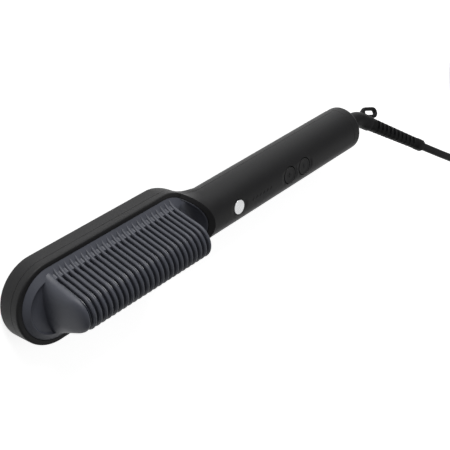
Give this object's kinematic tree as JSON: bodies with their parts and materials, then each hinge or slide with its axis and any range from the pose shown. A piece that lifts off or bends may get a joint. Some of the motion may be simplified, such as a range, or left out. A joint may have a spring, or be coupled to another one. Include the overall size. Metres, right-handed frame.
{
  "type": "heated hair straightening comb brush",
  "caption": "Heated straightening comb with arched guard ribs on a long flat-backed head, round handle with three push buttons, and a swivel mains cord with a hanging loop.",
  "frame": {"origin": "bottom centre of the brush without its cord, on the plane of the flat back it lies on", "axes": "+X from the head's tip to the cord end, +Z from the flat back towards the comb's ribs, +Y completes the frame"},
  "size_m": [0.6392, 0.1122, 0.0479],
  "materials": {
    "housing_plastic": "fine matt grain",
    "comb_plastic": "smooth satin",
    "coated_aluminium": "satin ceramic coating",
    "bare_aluminium": "mill finish",
    "ceramic": "sintered",
    "mica": "pressed sheet",
    "sensor_epoxy": "dipped",
    "clear_plastic": "moulded, clear",
    "led_resin": "moulded",
    "switch_plastic": "moulded",
    "board_laminate": "solder mask",
    "capacitor_case": "moulded",
    "zinc_steel": "zinc plated",
    "spring_steel": "rolled",
    "wire_insulation": "silicone",
    "silver_button": "satin turned face",
    "button_plastic": "fine matt grain",
    "soft_vinyl": "moulded, matt",
    "cord_vinyl": "extruded, satin",
    "tie_plastic": "satin",
    "plug_plastic": "moulded, matt",
    "nickel_brass": "nickel plated"
  },
  "bodies": {
    "brush": {"rear_housing": "housing_plastic", "front_housing": "housing_plastic", "comb_cover": "comb_plastic", "heating_plate": "coated_aluminium", "ceramic_heater": "ceramic", "heater_clamp": "bare_aluminium", "insulation_sheet": "mica", "heater_screws": "zinc_steel", "temperature_sensor": "sensor_epoxy", "thermal_fuse": "bare_aluminium", "light_guide": "clear_plastic", "indicator_leds": "led_resin", "tact_switches": "switch_plastic", "main_board": "board_laminate", "board_screws": "zinc_steel", "filter_capacitor": "capacitor_case", "supply_leads": "wire_insulation", "heater_leads": "wire_insulation", "housing_screws": "zinc_steel", "end_cap": "housing_plastic"},
    "power_key": {"power_button": "silver_button"},
    "plus_key": {"plus_button": "button_plastic"},
    "minus_key": {"minus_button": "button_plastic"},
    "swivel": {"swivel_neck": "housing_plastic", "swivel_retainer": "spring_steel", "strain_relief": "soft_vinyl", "power_cord": "cord_vinyl", "cord_coil": "cord_vinyl", "cord_tie": "tie_plastic", "plug_tail": "cord_vinyl", "plug_body": "plug_plastic", "plug_pins": "nickel_brass"}
  },
  "joints": [
    {"name": "power_press", "type": "slide", "parent": "brush", "child": "power_key", "axis": [0, 0, -1], "range_m": [0, 0.0006], "stiffness_N_per_m": 3000},
    {"name": "plus_press", "type": "slide", "parent": "brush", "child": "plus_key", "axis": [0, 0, -1], "range_m": [0, 0.0006], "stiffness_N_per_m": 3000},
    {"name": "minus_press", "type": "slide", "parent": "brush", "child": "minus_key", "axis": [0, 0, -1], "range_m": [0, 0.0006], "stiffness_N_per_m": 3000},
    {"name": "swivel_turn", "type": "hinge", "parent": "brush", "child": "swivel", "pos_m": [0.125, 0, 0.016], "axis": [1, 0, 0], "continuous": true}
  ]
}
